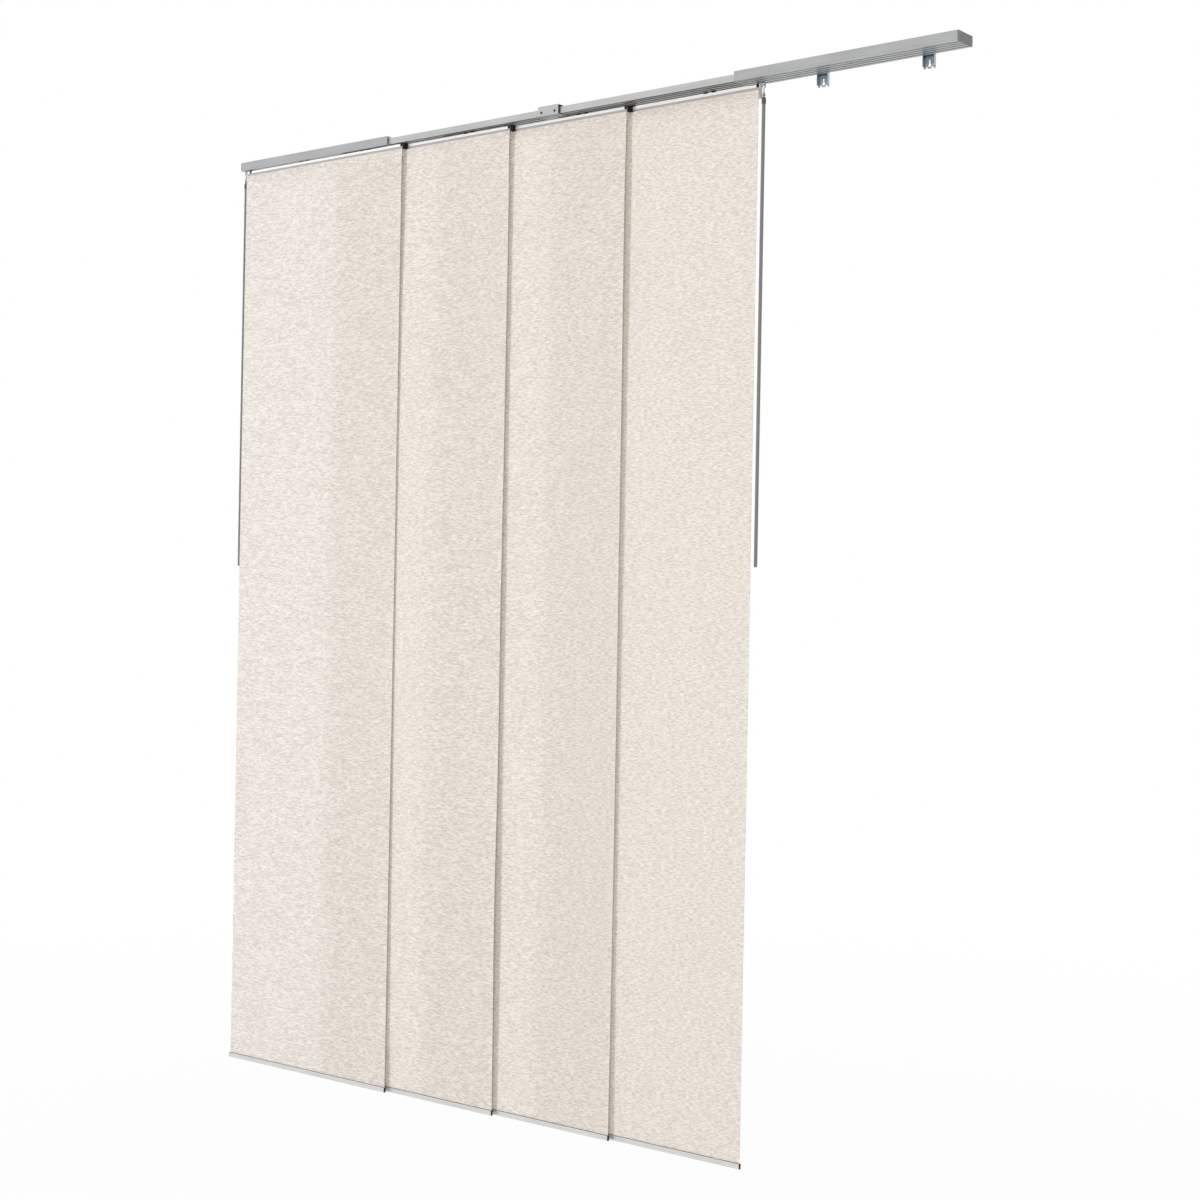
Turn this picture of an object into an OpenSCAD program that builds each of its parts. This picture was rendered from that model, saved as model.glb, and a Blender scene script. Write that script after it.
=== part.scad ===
// Panel track blind: four flat fabric panels that slide behind one another in a
// telescopic track of four lanes, drawn by a wand at each outer edge.
// X runs along the track, the room is at -Y, the wall is the plane Y = 0,
// and Z = 0 is the height of the wall screws.

/* [Track] */
// Length of the drawn-out track, over its end caps
track_len = 2184; // [1800:1:2230]
// Length of one outer rail, without its end cap
rail_len = 553; // [500:1:640]
// How far the inner channels reach into an outer rail
rail_overlap = 38; // [20:1:120]
// Clear width of one lane's chamber in the outer rail
chamber_w = 11.6; // [11:0.1:12.6]
// Thickness of the webs between the lanes
web_t = 1.2; // [0.9:0.1:1.8]
// Thickness of the front, back and top walls of the outer rail
rail_wall = 1.6; // [1.2:0.1:2.2]
// Thickness of the outer rail's hollow front and back sides
side_t = 5.2; // [4:0.1:7]
// Thickness of the lips under the lanes
lip_t = 1.3; // [1:0.1:2]
// Width of the slot under each lane
slot_w = 4; // [3.6:0.1:4.6]
// Thickness of the deck over the lanes
deck_t = 1.2; // [0.9:0.1:2]
// Width of the open slot along the top of the outer rail
tee_gap = 32; // [20:1:40]
// Height of the reveal line above the rail's lower edge
reveal_z = 4; // [3:0.5:8]
// Thickness of an end cap's plate
cap_t = 2.5; // [2:0.1:4]
// Depth of the end cap's plugs in the lanes
cap_plug = 8; // [5:0.5:15]

/* [Inner channels and joint] */
// Height of one inner channel
channel_h = 15.6; // [13:0.1:18]
// Wall thickness of an inner channel
channel_wall = 1; // [0.8:0.1:1.3]
// Thickness of an inner channel's lips
channel_floor = 1.2; // [0.9:0.1:1.6]
// Length of the cover over the joint
joint_len = 62; // [50:1:90]
// Distance that the joint cover stands out from the rails' faces
joint_proud = 0.8; // [0.4:0.1:2]
// Distance between the two joint screws on one face
joint_screw_gap = 41; // [30:1:44]
// Height of the joint screws above the underside
joint_screw_z = 8; // [6:0.5:12]
// Shank diameter of a joint screw
joint_screw_d = 3.5; // [2.5:0.1:4]
// Head diameter of a joint screw
joint_head_d = 6.5; // [5:0.1:8]

/* [Wall brackets] */
// Width of a bracket
bracket_w = 28; // [24:1:40]
// Sheet thickness of a bracket
bracket_t = 1.6; // [1.2:0.1:2.5]
// Depth of the bracket's side flanges
bracket_flange = 6; // [4:0.5:12]
// How far the wall leg reaches below the track's underside
bracket_drop = 27; // [24:0.5:40]
// Outside radius of the bend
bend_r = 3; // [2.8:0.1:5]
// Height of the wall screw below the track's underside
screw_drop = 20; // [17:0.5:21]
// Diameter of the keyhole's round end
key_d = 7; // [6:0.1:9]
// Width of the keyhole's slot
key_slot_w = 3.6; // [3:0.1:4.5]
// Height of the keyhole's slot above the round end's centre
key_slot_h = 11; // [7:0.5:13]
// Distance of the outer bracket from the track's end
bracket_end = 103; // [60:1:160]
// Distance between the two brackets of one rail
bracket_step = 261; // [150:1:320]
// Thickness of the hanger plate in the rail's top slot
plate_t = 1.6; // [1.2:0.1:2.5]
// Length of the hanger plate along the rail
plate_l = 26; // [18:1:40]
// Diameter of the hanger bolt
bolt_d = 5; // [4:0.5:6]

/* [Panels] */
// Width of a fabric panel
panel_w = 585; // [520:1:600]
// Distance of the first panel's edge from the track's left end
panel_left = 19; // [12:1:60]
// Step from the first panel to the second
step_2 = 351; // [60:1:500]
// Step from the second panel to the third
step_3 = 350; // [60:1:500]
// Step from the third panel to the fourth
step_4 = 361; // [60:1:500]
// Drop from the track's underside to the foot of the bottom bar
panel_drop = 2400; // [1200:1:2600]
// Thickness of the fabric
fabric_t = 0.9; // [0.5:0.1:1.2]
// Drop from the track's underside to the fabric's top edge
fabric_top = 15; // [14.5:0.5:20]
// Space between the track's underside and a carrier
hang_gap = 9; // [7:0.5:12]
// Space between the track's underside and the apron along a carrier's front
apron_gap = 2.5; // [1.5:0.5:5]
// Depth of a carrier, front to back
carrier_d = 8.6; // [8:0.1:9]
// Height of a carrier
carrier_h = 24; // [24:0.5:32]
// Wall thickness of a carrier
carrier_wall = 1.2; // [0.9:0.1:1.3]
// Thickness of the touch-fastener strip
strip_t = 1.5; // [1:0.1:2]
// Height of the touch-fastener strip
strip_h = 14; // [10:0.5:15]
// How far the touch-fastener strip shows above the fabric
strip_show = 2.5; // [0:0.5:4]
// Height of a bottom bar
bar_h = 12.5; // [12:0.5:20]
// Depth of a bottom bar
bar_d = 5.5; // [5:0.1:8]
// Depth of the slot that grips the fabric
bar_slot = 8; // [5:0.5:8]
// Bore along the foot of a bottom bar
bar_bore_d = 2.6; // [2:0.1:3]
// Thickness of a bottom bar's end cap
bar_cap_t = 1.5; // [1:0.1:4]
// Height of the line along a bottom bar's faces above its foot
bar_line = 7.5; // [5:0.5:10]

/* [Runners and catches] */
// Length of a runner
runner_len = 34; // [33:1:46]
// Height of a runner's upper plate
runner_h = 5; // [3:0.5:8]
// Bearing width of each runner shoulder on its lip
shoulder_bite = 1; // [0.7:0.1:1.1]
// Place of the left runner along a panel
runner_left = 218; // [60:1:230]
// Place of the right runner along a panel
runner_right = 447; // [300:1:500]
// Length of one runner stem
stem_l = 10; // [6:0.5:10]
// Distance between a runner's two stems
stem_gap = 22; // [14:1:22]
// Height of the feet in the carrier's groove
foot_h = 2.6; // [2:0.1:4]
// Length of a catch along the track
catch_l = 7; // [5:0.5:8]
// Place of the left catch along a panel
catch_left = 12; // [8:0.5:40]
// Distance of the right catch from the panel's right edge
catch_right = 4; // [4:0.5:30]
// Depth by which two catches hook behind each other
arm_bite = 1.5; // [1:0.1:2]
// Height of a catch arm
arm_h = 6; // [4:0.5:6]

/* [Wands] */
// Diameter of a wand
wand_d = 8; // [6:0.5:10]
// Length of a wand's rod
wand_len = 1035; // [500:5:1400]
// Distance of a wand from the panel's edge
wand_out = 10; // [7.8:0.1:12]
// Wall of the cap round the wand's head
wand_cap_wall = 1; // [0.8:0.1:1.5]
// Wire diameter of the wand's hook
hook_wire = 1.8; // [1.4:0.1:2]
// Centre-line radius of the hook's upper loop
hook_loop = 3.6; // [3.4:0.1:4.5]
// Centre-line radius of the hook's lower ring
hook_ring = 3.2; // [3:0.1:4]
// Length of the hook's shank between its loops
hook_shank = 10; // [8:0.5:30]
// Thickness of the holder's plates
holder_t = 2.4; // [2:0.1:3]

/* [Hidden] */
$fn = 48;
lanes = 4;
// play of the telescopic fit, of a runner in its slot, of a runner above its lips, and of a close fit
fit_gap = 0.3;
run_gap = 0.3;
ride_gap = 0.2;
close_gap = 0.1;
// play of a hanger plate under its flanges, and of the rail in front of the bracket's flanges
plate_gap = 0.4;
flange_gap = 0.4;
// how far a cutting shape passes the face that it cuts
cut = 1;
lane_pitch = chamber_w + web_t;
rail_d = lanes * chamber_w + (lanes - 1) * web_t + 2 * side_t;
side_hollow = side_t - rail_wall - web_t;
chamber_h = channel_h + fit_gap;
deck_top = lip_t + chamber_h + deck_t;
tee_h = plate_t + plate_gap;
rail_h = deck_top + tee_h + rail_wall;
reveal_depth = 0.5;
reveal_h = 0.9;
channel_w = chamber_w - 2 * fit_gap;
channel_len = track_len / 2 - cap_t - rail_len + rail_overlap;
wall_gap = bracket_t + bracket_flange + flange_gap;
track_y = -wall_gap - rail_d / 2;
leg_past_bolt = 16;
leg_reach = wall_gap + rail_d / 2 + leg_past_bolt;
stem_w = slot_w - 2 * run_gap;
shoulder_w = slot_w + 2 * shoulder_bite;
channel_slot = shoulder_w + 2 * run_gap;
runner_w = channel_w - 2 * channel_wall - 2 * run_gap;
groove_w = carrier_d - 2 * carrier_wall;
groove_h = foot_h + fit_gap;
foot_w = groove_w - 2 * run_gap;
hollow_h = carrier_h - 3 * carrier_wall - groove_h;
fabric_out = carrier_d / 2 + strip_t;
arm_reach = lane_pitch / 2 + arm_bite;
arm_rise = 1;
// room under the track over a catch and over a wand holder
catch_room = 1;
holder_room = 1.2;
holder_arm_t = 1.6;
tab_w = 7;
loop_seat = hook_wire / 2 + 3 * close_gap;
hook_top = holder_room + holder_arm_t + fit_gap + loop_seat;
ring_z = hook_top + 2 * hook_loop + hook_shank + hook_ring;
pivot_z = ring_z + hook_ring;
eye_r = hook_ring - 0.2;
eye_wire = hook_wire + 2 * close_gap;
eye_z = pivot_z + eye_r - eye_wire / 2 - hook_wire / 2 - close_gap;
cap_top = eye_z + eye_r - eye_wire / 4;
cap_neck = 5;
cap_socket = 10;
joint_h = rail_h + joint_proud;
joint_d = rail_d + 2 * joint_proud;
joint_screw_l = joint_proud + side_t + fit_gap + channel_wall;

PANEL_KINDS = ["carrier", "touch_strip", "runners", "catch_left", "catch_right", "fabric", "bottom_bar",
               "bar_caps"];
SIDES = ["left", "right"];

// Depth of lane n behind the wall plane, lane 0 at the front
function lane_y(n) = track_y + (n - (lanes - 1) / 2) * lane_pitch;
// Left edge of panel n
function panel_x(n) =
    -track_len / 2 + panel_left + (n > 0 ? step_2 : 0) + (n > 1 ? step_3 : 0) + (n > 2 ? step_4 : 0);
// Middle of bracket n, two on each rail
function bracket_x(n) =
    (n < 2 ? -1 : 1) * (track_len / 2 - bracket_end - (n == 1 || n == 2 ? bracket_step : 0));

// Heights below are counted from the track's underside
module at_track() {
    translate([0, 0, screw_drop]) children();
}

// Draws a section of the Y-Z plane out along the track
module along_x(x, len) {
    at_track() translate([x, 0, 0]) rotate([90, 0, 90]) linear_extrude(len) children();
}

module box(low, size) {
    translate(low) cube(size);
}

module rounded(w, h, r) {
    translate([-w / 2 + r, 0]) square([w - 2 * r, h]);
    translate([-w / 2, r]) square([w, h - 2 * r]);
    for (u = [-w / 2 + r, w / 2 - r]) for (v = [r, h - r]) translate([u, v]) circle(r);
}

// Mirrors what is drawn for the right-hand end to the left
module handed(side) {
    mirror([side < 0 ? 1 : 0, 0, 0]) children();
}

// The lanes, and the hollows that lighten the sides
module lane_cuts() {
    for (n = [0:lanes - 1]) translate([lane_y(n), 0]) {
        translate([-chamber_w / 2, lip_t]) square([chamber_w, chamber_h]);
        translate([-slot_w / 2, -cut]) square([slot_w, lip_t + 2 * cut]);
    }
    for (side = [-1, 1])
        translate([track_y + side * (rail_d / 2 - rail_wall - side_hollow / 2), lip_t + chamber_h / 2])
            square([side_hollow, chamber_h], center = true);
}

// Outer rail: four lanes, a deck, and an undercut slot on top for the hangers
module outer_section() {
    difference() {
        translate([track_y - rail_d / 2, 0]) square([rail_d, rail_h]);
        lane_cuts();
        translate([track_y - rail_d / 2 + rail_wall, deck_top]) square([rail_d - 2 * rail_wall, tee_h]);
        translate([track_y - tee_gap / 2, deck_top]) square([tee_gap, rail_h]);
        for (side = [-1, 1]) translate([track_y + side * rail_d / 2, reveal_z])
            square([2 * reveal_depth, reveal_h], center = true);
    }
}

// Inner channel: a C section that rests on the outer rail's lips
module channel_section() {
    difference() {
        translate([-channel_w / 2, lip_t]) square([channel_w, channel_h]);
        translate([-channel_w / 2 + channel_wall, lip_t + channel_floor])
            square([channel_w - 2 * channel_wall, channel_h - channel_floor - channel_wall]);
        translate([-channel_slot / 2, lip_t - cut]) square([channel_slot, channel_floor + 2 * cut]);
    }
}

module joint_section() {
    difference() {
        translate([track_y - joint_d / 2, 0]) square([joint_d, joint_h]);
        lane_cuts();
        translate([track_y - rail_d / 2 + rail_wall, deck_top]) square([rail_d - 2 * rail_wall, tee_h]);
    }
}

module outer_rail(side) {
    color("silver") handed(side) along_x(track_len / 2 - cap_t - rail_len, rail_len) outer_section();
}

module channels(side) {
    color("lightgray") difference() {
        handed(side) for (n = [0:lanes - 1]) along_x(0, channel_len) translate([lane_y(n), 0])
            channel_section();
        joint_holes();
    }
}

// Places its child at the four joint screws, +Z pointing out of the joint
module each_joint_screw() {
    at_track() for (face = [-1, 1]) for (x = [-1, 1] * joint_screw_gap / 2)
        translate([x, track_y + face * joint_d / 2, joint_screw_z]) rotate([face * -90, 0, 0]) children();
}

module joint_holes() {
    each_joint_screw() translate([0, 0, -joint_screw_l - cut / 2])
        cylinder(d = joint_screw_d + 2 * close_gap, h = joint_screw_l + cut);
}

module joint_cover() {
    color("silver") difference() {
        along_x(-joint_len / 2, joint_len) joint_section();
        joint_holes();
    }
}

module joint_screws() {
    head_h = joint_head_d * 0.28;
    color("dimgray") each_joint_screw() {
        translate([0, 0, -joint_screw_l]) cylinder(d = joint_screw_d, h = joint_screw_l);
        cylinder(d1 = joint_head_d, d2 = joint_head_d * 0.7, h = head_h);
    }
}

module end_cap(side) {
    color("slategray") handed(side) {
        along_x(track_len / 2 - cap_t, cap_t) translate([track_y, 0]) rounded(rail_d, rail_h, 1);
        for (n = [0:lanes - 1]) along_x(track_len / 2 - cap_t - cap_plug, cap_plug)
            translate([lane_y(n) - channel_w / 2, lip_t + fit_gap]) square([channel_w, channel_h - fit_gap]);
    }
}

// Bent strip: a wall leg and a leg over the track
module bracket_section() {
    translate([-bracket_t, -bracket_drop]) square([bracket_t, bracket_drop + rail_h + bracket_t - bend_r]);
    translate([-leg_reach, rail_h]) square([leg_reach - bend_r, bracket_t]);
    translate([-bend_r, rail_h + bracket_t - bend_r]) intersection() {
        difference() {
            circle(bend_r);
            circle(bend_r - bracket_t);
        }
        square(bend_r);
    }
}

module keyhole() {
    depth = bracket_t + 2 * cut;
    translate([0, cut, -screw_drop]) rotate([90, 0, 0]) cylinder(d = key_d, h = depth);
    box([-key_slot_w / 2, cut - depth, -screw_drop], [key_slot_w, depth, key_slot_h]);
}

module wall_bracket(n) {
    x = bracket_x(n);
    notch_w = bracket_w / 6;
    notch_x = bracket_w / 4;
    notch_h = 4;
    color("lightsteelblue") difference() {
        union() {
            along_x(x - bracket_w / 2, bracket_w) bracket_section();
            for (side = [0, 1]) along_x(x - bracket_w / 2 + side * (bracket_w - bracket_t), bracket_t)
                translate([-bracket_t - bracket_flange, notch_h - bracket_drop])
                    square([bracket_flange + bracket_t / 2, bracket_drop + rail_h - notch_h]);
        }
        at_track() translate([x, 0, 0]) {
            keyhole();
            for (side = [-1, 1]) translate([side * notch_x, 0, 0])
                box([-notch_w / 2, -bracket_t - cut, -bracket_drop - cut],
                    [notch_w, bracket_t + 2 * cut, notch_h + cut]);
            for (end = [-1, 1]) translate([0, track_y + end * bolt_d, rail_h - cut])
                cylinder(d = bolt_d + 2 * run_gap, h = bracket_t + 2 * cut);
            box([-bolt_d / 2 - run_gap, track_y - bolt_d, rail_h - cut],
                [bolt_d + 2 * run_gap, 2 * bolt_d, bracket_t + 2 * cut]);
        }
    }
}

module hanger_plate(n) {
    reach = rail_d - 2 * rail_wall - 2 * fit_gap;
    top = deck_top + tee_h;
    color("gainsboro") at_track() translate([bracket_x(n), track_y, 0]) difference() {
        box([-plate_l / 2, -reach / 2, top - plate_t], [plate_l, reach, plate_t]);
        translate([0, 0, top - plate_t - cut]) cylinder(d = bolt_d + 2 * close_gap, h = plate_t + 2 * cut);
    }
}

module hanger_bolts() {
    low = deck_top + tee_h - plate_t;
    head = rail_h + bracket_t;
    washer_t = 0.4;
    color("gainsboro") at_track() for (n = [0:lanes - 1]) translate([bracket_x(n), track_y, 0]) {
        translate([0, 0, low]) cylinder(d = bolt_d, h = head - low);
        translate([0, 0, head]) cylinder(d = bolt_d * 2, h = washer_t);
        translate([0, 0, head]) cylinder(d = bolt_d * 1.8, h = bolt_d * 0.6, $fn = 6);
    }
}

// Carrier: a groove on top for the feet, and a hollow behind the touch strip
module carrier_section() {
    foot = -hang_gap - carrier_h;
    difference() {
        translate([-carrier_d / 2, foot]) square([carrier_d, carrier_h]);
        translate([-groove_w / 2, -hang_gap - carrier_wall - groove_h]) square([groove_w, groove_h]);
        translate([-slot_w / 2, -hang_gap - carrier_wall - cut]) square([slot_w, carrier_wall + 2 * cut]);
        translate([-groove_w / 2, foot + carrier_wall]) square([groove_w, hollow_h]);
    }
}

// The apron hides the runners' stems from the room, and is cut away at the catches
module carrier(n) {
    gap_w = catch_l + 2 * run_gap;
    color("whitesmoke") difference() {
        along_x(panel_x(n), panel_w) translate([lane_y(n), 0]) {
            carrier_section();
            translate([-carrier_d / 2, -hang_gap]) square([carrier_wall, hang_gap - apron_gap]);
        }
        at_track() for (x = [catch_left, panel_w - catch_right])
            box([panel_x(n) + x - gap_w / 2, lane_y(n) - carrier_d / 2 - cut, -hang_gap],
                [gap_w, carrier_wall + 2 * cut, hang_gap]);
    }
}

module touch_strip(n) {
    color("white") at_track()
        box([panel_x(n), lane_y(n) - fabric_out, strip_show - fabric_top - strip_h],
            [panel_w, strip_t, strip_h]);
}

// Foot in the carrier's groove, with necks up to the height given
module groove_foot(len, neck_l, necks, top) {
    seat = -hang_gap - carrier_wall;
    box([-len / 2, -foot_w / 2, seat - foot_h], [len, foot_w, foot_h]);
    for (x = necks) box([x - neck_l / 2, -stem_w / 2, seat], [neck_l, stem_w, top - seat]);
}

// Runner: the lower shoulder rides on the outer rail's lips and the upper plate
// on the inner channel's, so that a panel stays level where the track telescopes
module runner() {
    shoulder = lip_t + ride_gap;
    plate = shoulder + channel_floor;
    groove_foot(runner_len, stem_l, [-stem_gap / 2, stem_gap / 2], shoulder);
    box([-runner_len / 2, -shoulder_w / 2, shoulder], [runner_len, shoulder_w, channel_floor]);
    translate([0, -runner_w / 2, plate]) linear_extrude(runner_h) rounded(runner_len, runner_w, 2);
}

module runners(n) {
    color("#202020") at_track() for (x = [runner_left, runner_right])
        translate([panel_x(n) + x, lane_y(n), 0]) runner();
}

module catch_arm(dir) {
    tip = catch_l / 2;
    translate([0, 0, -hang_gap + arm_rise]) linear_extrude(arm_h) mirror([0, dir < 0 ? 1 : 0]) {
        translate([-tip, 0]) square([catch_l, arm_reach - tip / 2]);
        translate([-tip / 2, 0]) square([tip, arm_reach]);
        for (u = [-tip / 2, tip / 2]) translate([u, arm_reach - tip / 2]) circle(tip / 2);
    }
}

// Catch: a post on the carrier with arms that hook its neighbours' catches
module catch_post(x, n, front, back) {
    color("#202020") at_track() translate([panel_x(n) + x, lane_y(n), 0]) {
        groove_foot(catch_l, catch_l, [0], -hang_gap);
        box([-catch_l / 2, -carrier_d / 2, -hang_gap], [catch_l, carrier_d, hang_gap - catch_room]);
        if (front) catch_arm(-1);
        if (back) catch_arm(1);
    }
}

module fabric(n) {
    foot = -panel_drop + bar_h - bar_slot;
    color("linen") at_track()
        box([panel_x(n), lane_y(n) - fabric_out - fabric_t, foot], [panel_w, fabric_t, -fabric_top - foot]);
}

module bar_outline() {
    rounded(bar_d, bar_h, 1.2);
}

module bar_section() {
    grip = fabric_t + 2 * fit_gap;
    difference() {
        bar_outline();
        translate([-grip / 2, bar_h - bar_slot]) square([grip, bar_slot + cut]);
        translate([0, (bar_h - bar_slot) / 2]) circle(d = bar_bore_d);
        for (side = [-1, 1]) translate([side * bar_d / 2, bar_line])
            square([2 * reveal_depth, reveal_h], center = true);
    }
}

function bar_y(n) = lane_y(n) - fabric_out - fabric_t / 2;

module bottom_bar(n) {
    color("silver") along_x(panel_x(n), panel_w) translate([bar_y(n), -panel_drop]) bar_section();
}

module bar_caps(n) {
    peg = 8;
    color("gray") for (x = [panel_x(n) - bar_cap_t, panel_x(n) + panel_w]) {
        inner = x < panel_x(n) ? x : x - peg;
        along_x(x, bar_cap_t) translate([bar_y(n), -panel_drop]) bar_outline();
        along_x(inner, peg + bar_cap_t) translate([bar_y(n), -panel_drop + (bar_h - bar_slot) / 2])
            circle(d = bar_bore_d - 2 * close_gap);
    }
}

// Places its child at the outer edge of the first or the last panel, +X outwards
module at_wand(side) {
    n = side < 0 ? 0 : lanes - 1;
    edge = panel_x(n) + (side < 0 ? 0 : panel_w);
    at_track() translate([edge, lane_y(n), 0]) handed(side) children();
}

// Holder: a plate plugged into the carrier's end, with an eye for the hook
module wand_holder(side) {
    foot = -hang_gap - carrier_h;
    tab = hook_top + 2 * loop_seat;
    plug = 10;
    color("lightgray") at_wand(side) difference() {
        union() {
            box([0, -carrier_d / 2, foot], [holder_t, carrier_d, -foot - holder_room]);
            box([-plug, -groove_w / 2 + close_gap, foot + carrier_wall + close_gap],
                [plug, groove_w - 2 * close_gap, hollow_h - 2 * close_gap]);
            box([0, -tab_w / 2, -holder_room - holder_arm_t],
                [wand_out + holder_t / 2, tab_w, holder_arm_t]);
            box([wand_out - holder_t / 2, -tab_w / 2, -tab], [holder_t, tab_w, tab - holder_room]);
        }
        translate([wand_out - holder_t, 0, -hook_top]) rotate([0, 90, 0])
            cylinder(r = loop_seat + 2 * close_gap, h = 2 * holder_t);
    }
}

module ring(r, wire, turn) {
    rotate_extrude(angle = turn) translate([r, 0]) circle(d = wire);
}

// Hook: an open loop through the holder's eye, a shank, and a ring at right angles
module wand_hook(side) {
    loop_z = -hook_top - hook_loop;
    open_turn = 290;
    color("silver") at_wand(side) translate([wand_out, 0, 0]) {
        translate([0, 0, loop_z]) rotate([90, 0, 0]) rotate([0, 0, -90])
            ring(hook_loop, hook_wire, open_turn);
        translate([0, 0, loop_z - hook_loop - hook_shank]) cylinder(d = hook_wire, h = hook_shank);
        translate([0, 0, -ring_z]) rotate([0, 90, 0]) ring(hook_ring, hook_wire, 360);
    }
}

module wand_cap(side) {
    cap_d = wand_d + 2 * wand_cap_wall;
    body = cap_neck + cap_socket;
    color("darkkhaki") at_wand(side) translate([wand_out, 0, 0]) {
        translate([0, 0, -eye_z]) rotate([90, 0, 0]) ring(eye_r, eye_wire, 360);
        difference() {
            union() {
                translate([0, 0, -cap_top - cap_neck]) cylinder(d1 = cap_d, d2 = cap_d * 0.6, h = cap_neck);
                translate([0, 0, -cap_top - body]) cylinder(d = cap_d, h = cap_socket);
            }
            translate([0, 0, -cap_top - body - cut])
                cylinder(d = wand_d + 2 * close_gap, h = cap_socket + cut);
        }
    }
}

module wand(side) {
    head = cap_top + cap_neck;
    color("gray") at_wand(side) translate([wand_out, 0, 0]) {
        translate([0, 0, -head - wand_len + wand_d / 2]) cylinder(d = wand_d, h = wand_len - wand_d / 2);
        translate([0, 0, -head - wand_len + wand_d / 2]) sphere(d = wand_d);
    }
}

outer_rail(-1);  // left_rail
outer_rail(1);  // right_rail
channels(-1);  // left_channels
channels(1);  // right_channels
joint_cover();
joint_screws();
end_cap(-1);  // left_end_cap
end_cap(1);  // right_end_cap
hanger_bolts();

for (n = [0:lanes - 1]) {
    wall_bracket(n);
    hanger_plate(n);
    carrier(n);
    touch_strip(n);
    runners(n);
    catch_post(catch_left, n, n > 0, n < lanes - 1);
    catch_post(panel_w - catch_right, n, false, n < lanes - 1);
    fabric(n);
    bottom_bar(n);
    bar_caps(n);
}

for (side = [-1, 1]) {
    end = side < 0 ? "left" : "right";
    wand_holder(side);
    wand_hook(side);
    wand_cap(side);
    wand(side);
}
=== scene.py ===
import math

import bmesh
import bpy
from mathutils import Matrix, Quaternion, Vector


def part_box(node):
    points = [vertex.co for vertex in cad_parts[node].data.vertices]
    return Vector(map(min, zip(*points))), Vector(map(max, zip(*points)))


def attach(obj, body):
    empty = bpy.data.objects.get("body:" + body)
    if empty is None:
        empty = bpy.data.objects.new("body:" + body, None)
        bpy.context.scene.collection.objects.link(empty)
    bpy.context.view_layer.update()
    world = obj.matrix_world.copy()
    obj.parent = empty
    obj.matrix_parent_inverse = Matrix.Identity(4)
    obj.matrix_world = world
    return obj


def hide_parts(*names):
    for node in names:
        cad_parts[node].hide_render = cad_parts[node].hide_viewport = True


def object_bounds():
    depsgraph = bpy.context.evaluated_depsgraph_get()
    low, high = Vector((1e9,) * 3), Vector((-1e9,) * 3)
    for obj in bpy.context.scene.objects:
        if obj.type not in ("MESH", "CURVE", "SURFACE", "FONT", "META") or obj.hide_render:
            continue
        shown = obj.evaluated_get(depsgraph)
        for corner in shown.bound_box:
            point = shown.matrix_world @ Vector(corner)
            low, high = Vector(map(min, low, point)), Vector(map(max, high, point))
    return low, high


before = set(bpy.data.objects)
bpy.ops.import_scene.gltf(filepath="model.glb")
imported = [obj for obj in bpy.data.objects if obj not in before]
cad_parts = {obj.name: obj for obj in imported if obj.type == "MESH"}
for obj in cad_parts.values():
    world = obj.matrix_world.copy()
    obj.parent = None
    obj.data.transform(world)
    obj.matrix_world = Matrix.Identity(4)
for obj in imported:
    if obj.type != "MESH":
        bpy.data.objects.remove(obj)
cad_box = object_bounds()


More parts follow.
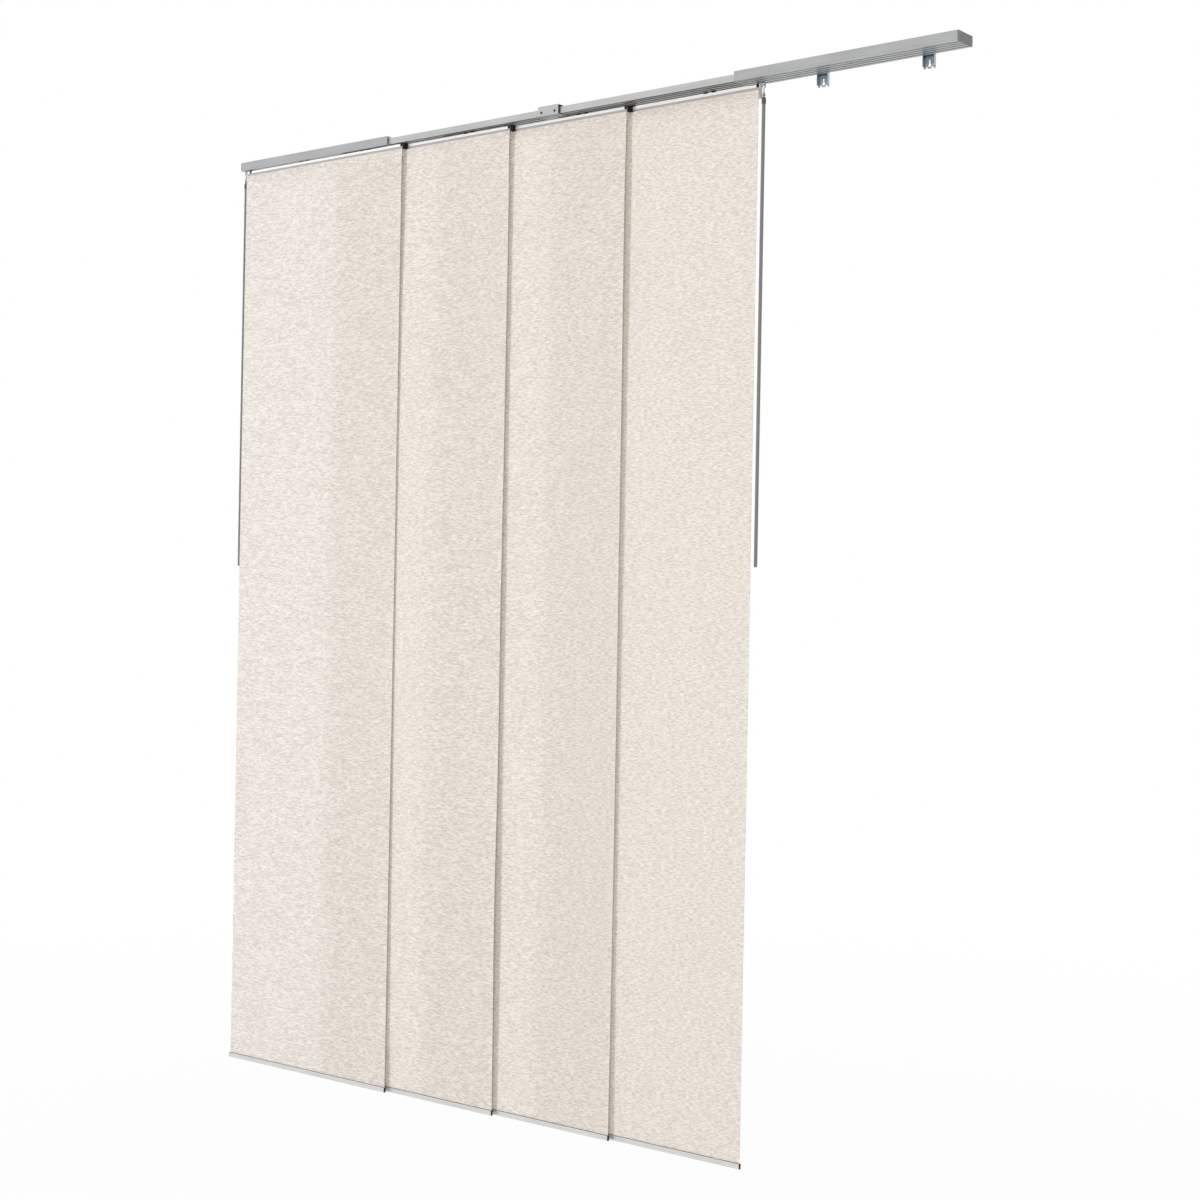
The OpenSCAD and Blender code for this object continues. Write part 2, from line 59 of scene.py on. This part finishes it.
# Outer rails: two aluminium extrusions with four open lanes underneath, satin anodised.
# The die leaves faint lines along them. They hang on the brackets by a slot in their tops.
class Shade:
    """A value in a material. Sums and products of values add the nodes that work them out."""

    def __init__(self, tree, socket=None):
        self.tree = tree
        self.socket = socket

    def node(self, kind, settings, sockets, output=0):
        """A node of a kind, with its settings and then its sockets' values or links."""
        made = self.tree.nodes.new(kind)
        for setting, value in settings.items():
            setattr(made, setting, value)
        for socket, value in sockets.items():
            if isinstance(value, Shade):
                self.tree.links.new(value.socket, made.inputs[socket])
            else:
                made.inputs[socket].default_value = value
        return Shade(self.tree, made.outputs[output])

    def maths(self, operation, first, second):
        return self.node("ShaderNodeMath", {"operation": operation}, {0: first, 1: second})

    def __add__(self, other):
        return self.maths("ADD", self, other)

    def __radd__(self, other):
        return self.maths("ADD", other, self)

    def __sub__(self, other):
        return self.maths("SUBTRACT", self, other)

    def __rsub__(self, other):
        return self.maths("SUBTRACT", other, self)

    def __mul__(self, other):
        return self.maths("MULTIPLY", self, other)

    def __rmul__(self, other):
        return self.maths("MULTIPLY", other, self)

    def between(self, low, high):
        """Runs smoothly from 0 at the low value to 1 at the high one."""
        sockets = {"Value": self, "From Min": low, "From Max": high}
        return self.node("ShaderNodeMapRange", {"interpolation_type": "SMOOTHSTEP"}, sockets)

    def noise(self, per_metre, detail=2.0, roughness=0.5):
        """Noise on a place on the piece, with so many grains to the metre along X, Y and Z."""
        place = self.node("ShaderNodeMapping", {}, {"Vector": self, "Scale": per_metre})
        sockets = {"Vector": place, "Scale": 1.0, "Detail": detail, "Roughness": roughness}
        return self.node("ShaderNodeTexNoise", {}, sockets)

    def tint(self, dark, light):
        """Runs from the dark colour at 0 to the light one at 1."""
        dark, light = [c if isinstance(c, Shade) else (*c, 1.0) for c in (dark, light)]
        # a Mix node's colours are its sockets 6 and 7, and its output 2
        sockets = {0: self, 6: dark, 7: light}
        return self.node("ShaderNodeMix", {"data_type": "RGBA"}, sockets, output=2)

    def within(self, low, high):
        """1 at a place between two corners' depths and heights, and 0 elsewhere."""
        depth, height = [
            self.node("ShaderNodeSeparateXYZ", {}, {0: self}, output=axis) for axis in "YZ"
        ]
        deep = self.maths("GREATER_THAN", depth, low[1]) * self.maths("LESS_THAN", depth, high[1])
        tall = self.maths("GREATER_THAN", height, low[2]) * self.maths("LESS_THAN", height, high[2])
        return deep * tall

    def bump(self, height_m, strength):
        sockets = {"Height": self, "Distance": height_m, "Strength": strength}
        return self.node("ShaderNodeBump", {}, sockets)


class Finish:
    """A material with one Principled shader, whose constant sockets are set here."""

    def __init__(self, name, **sockets):
        self.material = bpy.data.materials.new(name)
        self.material.use_nodes = True
        self.tree = self.material.node_tree
        self.shader = self.tree.nodes["Principled BSDF"]
        self.place = Shade(self.tree).node("ShaderNodeTexCoord", {}, {}, output="Object")
        for socket, value in sockets.items():
            self.shader.inputs[socket.replace("_", " ")].default_value = value

    def drive(self, **sockets):
        """Links what changes over the surface to the shader."""
        for socket, value in sockets.items():
            self.tree.links.new(value.socket, self.shader.inputs[socket.replace("_", " ")])

    def mix(self, share, other):
        """Gives a share of the surface to another shader."""
        own = Shade(self.tree, self.shader.outputs["BSDF"])
        both = self.place.node("ShaderNodeMixShader", {}, {0: share, 1: own, 2: other})
        self.tree.links.new(both.socket, self.tree.nodes["Material Output"].inputs["Surface"])

    def dress(self, *nodes):
        """Puts the material on nodes of the frame."""
        for name in nodes:
            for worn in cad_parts[name].material_slots:
                worn.material = self.material


# the colour of painted shade laid in hollows: deep in lanes, in open ends, in slot mouths
PAINTED_SHADE = (0.02, 0.02, 0.021)


def extruded(name, dark, light, roughness, metallic=0.6, shaded=None):
    """Satin aluminium with die lines along X and a soft cloudiness from the anodising.

    Between two corners, where they are given, it is painted dark as shade in the hollows."""
    made = Finish(name, Metallic=metallic)
    lines = made.place.noise((1.5, 1300, 1300), detail=3.0)
    cloud = made.place.noise((9, 30, 30))
    colour = (0.6 * lines + 0.4 * cloud).between(0.3, 0.7).tint(dark, light)
    # painted shade: inside the given corners the colour is darkened to stand for the shade there
    if shaded:
        colour = made.place.within(*shaded).tint(colour, PAINTED_SHADE)
    made.drive(
        Base_Color=colour,
        Roughness=roughness + 0.12 * (lines - 0.5),
        Normal=lines.bump(0.00002, 0.35),
    )
    return made


def lanes_of(node, side, lip, top):
    """The corners of a section's inside, by the thickness of its sides, its lips and its top."""
    low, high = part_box(node)
    return low + Vector((0, side, lip)), high - Vector((0, side, top))


rail_metal = extruded(
    "rail_metal",
    (0.39, 0.405, 0.422),
    (0.485, 0.50, 0.516),
    roughness=0.36,
    # painted shade darkens the insides of the rails' lanes
    shaded=lanes_of("left_rail", side=0.005, lip=0.0012, top=0.0045),
)
rail_metal.dress("left_rail", "right_rail")


# Inner channels: four slim aluminium channels in each half, that slide out of the rails
# and carry the lanes across the middle. They have the rails' finish, a little brighter.
channel_metal = extruded(
    "channel_metal",
    (0.46, 0.47, 0.48),
    (0.57, 0.58, 0.59),
    roughness=0.33,
    # painted shade darkens the insides of the channels' lanes
    shaded=lanes_of("left_channels", side=0.0008, lip=0.0011, top=0.0008),
)
channel_metal.dress("left_channels", "right_channels")


# Joint cover: a short sleeve of the same section over the butted channels, held by two
# screws in its front and two in its back. Inside the bright skin its hollow ends are painted dark
# as shade.
cover_metal = extruded(
    "cover_metal",
    (0.48, 0.49, 0.50),
    (0.56, 0.57, 0.58),
    roughness=0.4,
    # painted shade darkens the inside of the sleeve, which shows at its open ends
    shaded=lanes_of("joint_cover", side=0.0014, lip=0.0012, top=0.0012),
)
cover_metal.dress("joint_cover")
screw_metal = Finish("screw_metal", Metallic=1.0, Base_Color=(0.09, 0.09, 0.095, 1.0))
screw_metal.drive(Roughness=0.3 + 0.25 * screw_metal.place.noise((900, 900, 900)))
screw_metal.dress("joint_screws")


# End caps: grey plates with four plugs, moulded in one and pushed into the rails' open ends.
# The mould leaves a fine even grain on them.
def moulded(name, dark, light, grains, roughness, shine, detail=3.0, pits=None):
    """Plastic with so many grains to the metre, and pits of a depth and a strength."""
    made = Finish(name, Specular_IOR_Level=shine)
    grain = made.place.noise((grains, grains, grains), detail)
    made.drive(Base_Color=grain.tint(dark, light), Roughness=roughness + 0.2 * grain)
    if pits:
        made.drive(Normal=grain.bump(*pits))
    return made


cap_plastic = moulded(
    "cap_plastic",
    (0.20, 0.215, 0.235),
    (0.28, 0.295, 0.315),
    grains=1800,
    roughness=0.5,
    shine=0.4,
    pits=(0.00008, 0.5),
)
cap_plastic.dress("left_end_cap", "right_end_cap")


# Wall brackets, hanger plates and bolts: bent and stamped steel strip with a bright zinc
# coat, whose crystals show as faint blue-grey patches.
BRACKETS = (1, 2, 3, 4)
zinc = Finish("zinc", Metallic=1.0)
crystals = zinc.place.noise((260, 260, 260), detail=4.0, roughness=0.65)
scuffs = zinc.place.noise((60, 900, 60), detail=3.0)
patches = (0.7 * crystals + 0.3 * scuffs).between(0.3, 0.7)
zinc.drive(
    Base_Color=patches.tint((0.28, 0.34, 0.40), (0.62, 0.68, 0.74)),
    Roughness=0.2 + 0.3 * crystals,
    Normal=scuffs.bump(0.00004, 0.3),
)
zinc.dress("hanger_bolts")
for n in BRACKETS:
    zinc.dress(f"wall_bracket_{n}", f"hanger_plate_{n}")


# Carriers: pale anodised extrusions along the tops of the panels, with a groove for the
# runners' feet above and a flat face for the touch strip in front.
PANELS = (1, 2, 3, 4)
carrier_metal = extruded(
    "carrier_metal",
    (0.90, 0.90, 0.91),
    (0.96, 0.96, 0.965),
    roughness=0.42,
    metallic=0.15,
)
for n in PANELS:
    carrier_metal.dress(f"carrier_{n}")


# Touch strips: grey looped tape stuck along the carriers' faces, that the fabric presses on to.
# Its upper edge shows above the cloth, as a band as high as the groove behind it.
# how far it stands above the strip in the frame, and how far its edges are rounded
TAPE_RISE = 0.0035
TAPE_EDGE = 0.0004
loop_tape = Finish("loop_tape", Sheen_Weight=0.4, Specular_IOR_Level=0.1)
loops = loop_tape.place.noise((1600, 1600, 1600), roughness=0.7)
loop_tape.drive(
    Base_Color=loops.tint((0.34, 0.335, 0.37), (0.50, 0.495, 0.54)),
    Roughness=0.8 + 0.2 * loops,
    Normal=loops.bump(0.0004, 0.8),
)


def block(low, high):
    """A box between two corners."""
    bm = bmesh.new()
    bmesh.ops.create_cube(bm, size=1.0)
    bmesh.ops.scale(bm, verts=bm.verts, vec=high - low)
    bmesh.ops.translate(bm, verts=bm.verts, vec=(low + high) / 2)
    return bm


def rounded(bm, edges, by):
    """Takes the sharpness off edges."""
    bmesh.ops.bevel(
        bm, geom=edges, offset=by, affect="EDGES", segments=2, profile=0.5, material=-1
    )


def finished(bm, name, finish):
    """The object that a shape becomes, in its finish."""
    mesh = bpy.data.meshes.new(name)
    bm.to_mesh(mesh)
    bm.free()
    mesh.materials.append(finish.material)
    piece = bpy.data.objects.new(name, mesh)
    bpy.context.scene.collection.objects.link(piece)
    return piece


for n in PANELS:
    low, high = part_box(f"touch_strip_{n}")
    middle = (low + high) / 2
    bm = block(low, high + Vector((0, 0, TAPE_RISE)))
    room_side = [e for e in bm.edges if all(v.co.y < middle.y for v in e.verts)]
    rounded(bm, room_side, TAPE_EDGE)
    tape = finished(bm, f"touch_tape_{n}", loop_tape)
    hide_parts(f"touch_strip_{n}")
    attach(tape, f"panel_{n}")


# Runners and catches: black moulded gliders in the lanes, and posts at the carriers' ends
# that draw the next panel along. The right-hand post of the first three ends in a hook.
glider_plastic = Finish("glider_plastic", Specular_IOR_Level=0.12)
mould_grain = glider_plastic.place.noise((2400, 2400, 2400))
rubbed = glider_plastic.place.noise((120, 400, 400), detail=3.0)
glider_plastic.drive(
    Base_Color=rubbed.between(0.35, 0.75).tint((0.008, 0.008, 0.009), (0.028, 0.028, 0.03)),
    Roughness=0.55 + 0.25 * rubbed,
    Normal=mould_grain.bump(0.00005, 0.4),
)
for n in PANELS:
    glider_plastic.dress(f"runners_{n}", f"catch_left_{n}", f"catch_right_{n}")

# the hook stands past the carrier's right end, close in front of the next panel's cloth
HOOK_REACH = 0.009
HOOK_FOOT = 0.0045
HOOK_CLEAR = 0.0007
HOOK_EDGE = 0.0006
TOE_RISE = 0.003
TOE_REACH = 0.0016
SHARP = math.radians(40)


def drawn_out(bm, faces, by, keep=False):
    """Extrudes faces along a vector, and can leave a copy where they were."""
    grown = bmesh.ops.extrude_face_region(bm, geom=faces, use_keep_orig=keep)["geom"]
    ends = [g for g in grown if isinstance(g, bmesh.types.BMVert)]
    bmesh.ops.translate(bm, verts=ends, vec=by)


for n in PANELS[:-1]:
    post_low, post_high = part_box(f"catch_right_{n}")
    carrier_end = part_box(f"carrier_{n}")[1].x
    next_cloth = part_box(f"fabric_{n + 1}")[0].y
    low = Vector((carrier_end, post_low.y, HOOK_FOOT))
    high = Vector((carrier_end + HOOK_REACH, next_cloth - HOOK_CLEAR, post_high.z))
    bm = block(low, high)
    toe_top = low.z + TOE_RISE
    whole = bm.verts[:] + bm.edges[:] + bm.faces[:]
    bmesh.ops.bisect_plane(bm, geom=whole, plane_co=(0, 0, toe_top), plane_no=(0, 0, 1))
    bm.normal_update()
    facing_right = [f for f in bm.faces if f.normal.x > math.cos(SHARP)]
    toe = [f for f in facing_right if f.calc_center_median().z < toe_top]
    drawn_out(bm, toe, (TOE_REACH, 0, 0))
    rounded(bm, [e for e in bm.edges if e.calc_face_angle(0) > SHARP], HOOK_EDGE)
    bmesh.ops.recalc_face_normals(bm, faces=bm.faces)
    catch_hook = finished(bm, f"catch_hook_{n}", glider_plastic)
    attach(catch_hook, f"panel_{n}")


# Fabric panels: flat lengths of cream cloth with a slub weft, cut square at the edges and
# a little see-through. Each is pressed on to its touch strip and clamped in its bottom bar.
SEE_THROUGH = 0.24
cloth = Finish("slub_cloth", Sheen_Weight=0.05, Specular_IOR_Level=0.1)
slubs = cloth.place.noise((85, 85, 600))
weft = cloth.place.noise((200, 200, 1300))
warp = cloth.place.noise((1100, 1100, 160), detail=1.0)
yarn = 0.68 * slubs + 0.22 * weft + 0.1 * warp
cloth.drive(
    Base_Color=yarn.between(0.38, 0.62).tint((0.69, 0.64, 0.605), (1.0, 0.96, 0.925)),
    Roughness=0.95 - 0.15 * weft,
    Normal=(0.6 * slubs + 0.4 * weft).bump(0.0006, 0.6),
)
light_through = {"Color": (0.81, 0.855, 0.87, 1.0)}
cloth.mix(SEE_THROUGH, cloth.place.node("ShaderNodeBsdfTranslucent", {}, light_through))

# how far each panel's right-hand edge curls to the wall, by share of its height from the foot up
EDGE_CURL = {
    1: ((0.01, 0.0), (0.45, 0.0012), (0.97, 0.0)),
    2: (
        (0.01, 0.0),
        (0.21, -0.004),
        (0.37, -0.0004),
        (0.52, -0.0016),
        (0.68, 0.0004),
        (0.93, 0.0018),
        (0.98, 0.0),
    ),
    3: (
        (0.01, 0.0),
        (0.21, 0.0018),
        (0.37, 0.0026),
        (0.68, 0.0016),
        (0.93, -0.0014),
        (0.98, 0.0),
    ),
    4: ((0.01, 0.0), (0.4, 0.0015), (0.97, 0.0)),
}
CURL_POWER = 6
# how far its left-hand part bows to the room, in the same way, and how wide that part is
LEFT_BOW = {
    1: ((0.01, 0.0), (0.5, 0.001), (0.97, 0.0)),
    2: (
        (0.01, 0.0),
        (0.08, 0.0034),
        (0.21, 0.005),
        (0.45, 0.006),
        (0.68, 0.0054),
        (0.84, 0.0036),
        (0.97, 0.0),
    ),
    3: ((0.01, 0.0), (0.5, 0.0005), (0.97, 0.0)),
    4: ((0.01, 0.0), (0.5, 0.0005), (0.97, 0.0)),
}
BOW_WIDTH = 0.8
# a faint ripple: its depth, its waves over the width and the height, and its shift on each panel
RIPPLE = 0.0007
WAVES_ACROSS = 1.3
WAVES_UP = 0.6
WAVE_SHIFT = 0.31
CELLS_ACROSS = 36
CELLS_UP = 120


def eased(stops, at):
    """A smooth run through stops of (place, value)."""
    if at <= stops[0][0]:
        return stops[0][1]
    for (low, first), (high, second) in zip(stops, stops[1:]):
        if at <= high:
            share = (1 - math.cos(math.pi * (at - low) / (high - low))) / 2
            return first + share * (second - first)
    return stops[-1][1]


for n in PANELS:
    low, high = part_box(f"fabric_{n}")
    size = high - low
    middle = (low + high) / 2
    bm = bmesh.new()
    bmesh.ops.create_grid(bm, x_segments=CELLS_ACROSS, y_segments=CELLS_UP, size=0.5)
    bmesh.ops.rotate(bm, verts=bm.verts, matrix=Matrix.Rotation(math.pi / 2, 3, "X"))
    bmesh.ops.scale(bm, verts=bm.verts, vec=(size.x, 1, size.z))
    bmesh.ops.translate(bm, verts=bm.verts, vec=(middle.x, high.y, middle.z))
    for v in bm.verts:
        across = (v.co.x - low.x) / size.x
        up = (v.co.z - low.z) / size.z
        free = math.sin(math.pi * min(max(up, 0), 1)) ** 0.5
        waves = WAVES_ACROSS * across + WAVES_UP * up + WAVE_SHIFT * n
        ripple = RIPPLE * free * math.sin(2 * math.pi * waves)
        curl = eased(EDGE_CURL[n], up) * across ** CURL_POWER
        bow = eased(LEFT_BOW[n], up) * math.sin(math.pi * min(across / BOW_WIDTH, 1)) ** 2
        v.co.y += ripple + curl - bow
    drawn_out(bm, bm.faces[:], (0, -size.y, 0), keep=True)
    bmesh.ops.recalc_face_normals(bm, faces=bm.faces)
    for edge in bm.edges:
        edge.smooth = edge.calc_face_angle(0) < SHARP
    panel_cloth = finished(bm, f"panel_cloth_{n}", cloth)
    panel_cloth.data.shade_smooth()
    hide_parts(f"fabric_{n}")
    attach(panel_cloth, f"panel_{n}")


# Bottom bars: slotted aluminium extrusions that weigh the panels down. A line of painted shade
# marks the mouth of the slot along their upper edge, and a dark moulded cap is pegged into each
# end.
# the height of that painted shade line, and a reach well past every bar's faces
BAR_MOUTH_SHADE = 0.0006
PAST_BARS = 1.0
bar_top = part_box("bottom_bar_1")[1].z
bar_metal = extruded(
    "bar_metal",
    (0.63, 0.64, 0.635),
    (0.74, 0.75, 0.745),
    roughness=0.4,
    # painted shade: a thin dark line along the top of each bar
    shaded=((0, -PAST_BARS, bar_top - BAR_MOUTH_SHADE), (0, PAST_BARS, PAST_BARS)),
)
bar_cap_plastic = moulded(
    "bar_cap_plastic",
    (0.018, 0.018, 0.02),
    (0.04, 0.04, 0.042),
    grains=1800,
    roughness=0.45,
    shine=0.2,
    pits=(0.00006, 0.4),
)
for n in PANELS:
    bar_metal.dress(f"bottom_bar_{n}")
    bar_cap_plastic.dress(f"bar_caps_{n}")


# Wands: a grey moulded holder plugged into the carrier's end, a hook of dark drawn wire, and a
# slim polished rod under an olive-brown moulded cap with an eye.
holder_plastic = moulded(
    "holder_plastic",
    (0.50, 0.50, 0.50),
    (0.60, 0.60, 0.60),
    grains=1500,
    roughness=0.3,
    shine=0.5,
    detail=2.0,
)
holder_plastic.dress("wand_holder_left", "wand_holder_right")
hook_wire = Finish("hook_wire", Metallic=1.0)
drawn = hook_wire.place.noise((900, 900, 300), detail=3.0)
hook_wire.drive(
    Base_Color=drawn.tint((0.10, 0.085, 0.07), (0.24, 0.21, 0.18)),
    Roughness=0.15 + 0.2 * drawn,
)
hook_wire.dress("wand_hook_left", "wand_hook_right")
wand_cap_plastic = moulded(
    "wand_cap_plastic",
    (0.075, 0.062, 0.04),
    (0.15, 0.125, 0.085),
    grains=1400,
    roughness=0.35,
    shine=0.45,
)
wand_cap_plastic.dress("wand_cap_left", "wand_cap_right")
rod_metal = Finish("rod_metal", Metallic=0.5)
polish = rod_metal.place.noise((1400, 1400, 4), detail=3.0)
rod_metal.drive(
    Base_Color=polish.tint((0.17, 0.173, 0.177), (0.25, 0.253, 0.258)),
    Roughness=0.26 + 0.12 * polish,
    Normal=polish.bump(0.00002, 0.2),
)
rod_metal.dress("wand_left", "wand_right")


# Studio: a pale floor well under the bars and a white surround. A lamp on the left throws each
# panel's edge on the next one, a broad one fills from the right and a weak one from behind.
WHITE = (1, 1, 1, 1)
FLOOR_DROP = 0.3
FLOOR_REACH = 60.0
FLOOR_SHADOW = 0.05
SHADOW_FADE = (1.5, 6.0)


def seen_as_white(place):
    """1 for what the camera sees, straight or in metal and glass, and 0 for light on the object."""
    camera_ray, glossy_ray, glass_ray = [
        place.node("ShaderNodeLightPath", {}, {}, output=f"Is {kind} Ray")
        for kind in ("Camera", "Glossy", "Transmission")
    ]
    return place.maths("MAXIMUM", place.maths("MAXIMUM", camera_ray, glossy_ray), glass_ray)


pale_floor = Finish(
    "pale_floor",
    Base_Color=(0.86, 0.86, 0.86, 1.0),
    Roughness=0.9,
    Specular_IOR_Level=0.1,
)
spot = pale_floor.place
away = spot.node("ShaderNodeVectorMath", {"operation": "LENGTH"}, {0: spot}, output="Value")
white_share = 1 - FLOOR_SHADOW + FLOOR_SHADOW * away.between(*SHADOW_FADE)
glow = spot.node("ShaderNodeEmission", {}, {"Color": WHITE, "Strength": 1.0})
pale_floor.mix(white_share * seen_as_white(spot), glow)
bm = bmesh.new()
bmesh.ops.create_grid(bm, x_segments=1, y_segments=1, size=FLOOR_REACH)
bmesh.ops.translate(bm, verts=bm.verts, vec=(0, 0, cad_box[0].z - FLOOR_DROP))
floor = finished(bm, "floor", pale_floor)

AMBIENT = 0.42
surround = bpy.data.worlds.new("surround")
surround.use_nodes = True
sky = surround.node_tree.nodes["Background"]
sky.inputs["Color"].default_value = WHITE
sky_light = AMBIENT + (1 - AMBIENT) * seen_as_white(Shade(surround.node_tree))
surround.node_tree.links.new(sky_light.socket, sky.inputs["Strength"])
bpy.context.scene.world = surround

# each lamp's colour, strength, width, distance, and degrees round to the right and up
LAMPS = {
    "key": ((0.92, 0.96, 1.0), 1.26, 0.9, 8.0, -30, 4),
    "fill": ((1.0, 0.85, 0.64), 1.6, 5.5, 10.0, 32, -3),
    "back": ((1.0, 0.92, 0.80), 0.7, 6.0, 10.0, 165, 6),
}
aim = (cad_box[0] + cad_box[1]) / 2
for name, (colour, strength, width, distance, right, up) in LAMPS.items():
    lamp = bpy.data.lights.new(name, "AREA")
    lamp.color = colour
    lamp.shape = "DISK"
    lamp.size = width
    lamp.energy = strength * math.pi * distance ** 2
    stand = bpy.data.objects.new(name, lamp)
    right, up = math.radians(right), math.radians(up)
    towards_lamp = Vector((math.sin(right), -math.cos(right), math.tan(up)))
    stand.location = aim + distance * towards_lamp
    stand.rotation_euler = towards_lamp.to_track_quat("Z", "Y").to_euler()
    stand.visible_glossy = False
    bpy.context.scene.collection.objects.link(stand)

# where the photograph was taken from, counted from the track's left end, front face and underside
CAMERA_RIGHT = 4.1799
CAMERA_OUT = 3.6115
CAMERA_DOWN = 1.1639
LOOKING = Vector((-0.62649, 0.77942, 0.00328))
ROLL = math.radians(1.043)
LENS = 60.08
SENSOR = 36.0
FURTHEST = 200.0
track_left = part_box("left_end_cap")[0].x
track_front, track_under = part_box("left_rail")[0].yz
camera = bpy.data.objects.new("camera", bpy.data.cameras.new("camera"))
camera.data.sensor_width = SENSOR
camera.data.lens = LENS
camera.data.clip_end = FURTHEST
camera.location = (
    track_left + CAMERA_RIGHT,
    track_front - CAMERA_OUT,
    track_under - CAMERA_DOWN,
)
camera.rotation_mode = "QUATERNION"
camera.rotation_quaternion = LOOKING.to_track_quat("-Z", "Y") @ Quaternion((0, 0, 1), ROLL)
bpy.context.scene.collection.objects.link(camera)
bpy.context.scene.camera = camera
bpy.context.scene.view_settings.view_transform = "Standard"
